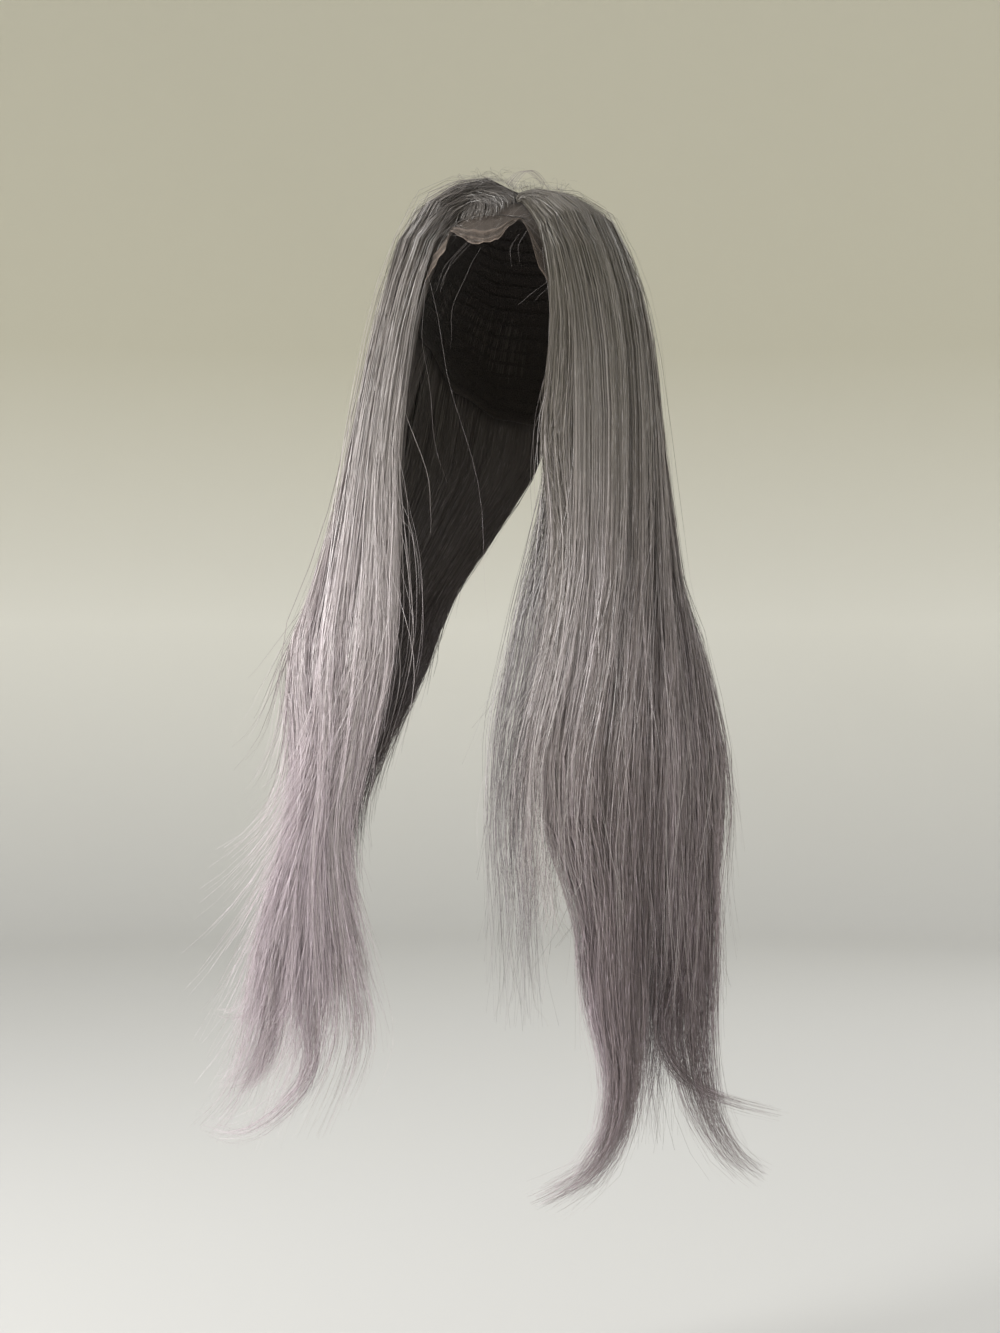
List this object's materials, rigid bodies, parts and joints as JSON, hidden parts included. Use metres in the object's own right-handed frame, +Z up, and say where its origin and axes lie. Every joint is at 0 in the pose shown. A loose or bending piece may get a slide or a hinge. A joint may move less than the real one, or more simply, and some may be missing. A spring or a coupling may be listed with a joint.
{
  "type": "lace front wig",
  "caption": "Very long straight lace front wig with an off-centre parting, a stepped sheer lace edge and hair drawn forward in two curtains over the chest",
  "frame": {"origin": "where the top of the head meets the inside of the cap", "axes": "+Z up along the head, -Y out of the face opening, +X to the right as seen from the front"},
  "size_m": [0.4135, 0.278, 0.7338],
  "materials": {
    "cap_net": "brown stretch net, matt",
    "sheer_lace": "sheer tan lace, matt",
    "silver_hair": "straight silver grey hair with a soft sheen",
    "shaded_hair": "straight ash grey hair, a tone darker"
  },
  "bodies": {
    "root": {"wig_cap": "cap_net", "lace_front": "sheer_lace", "curtain_left": "silver_hair", "curtain_right": "silver_hair", "nape_fall_left": "shaded_hair", "nape_fall_right": "shaded_hair"}
  },
  "joints": []
}
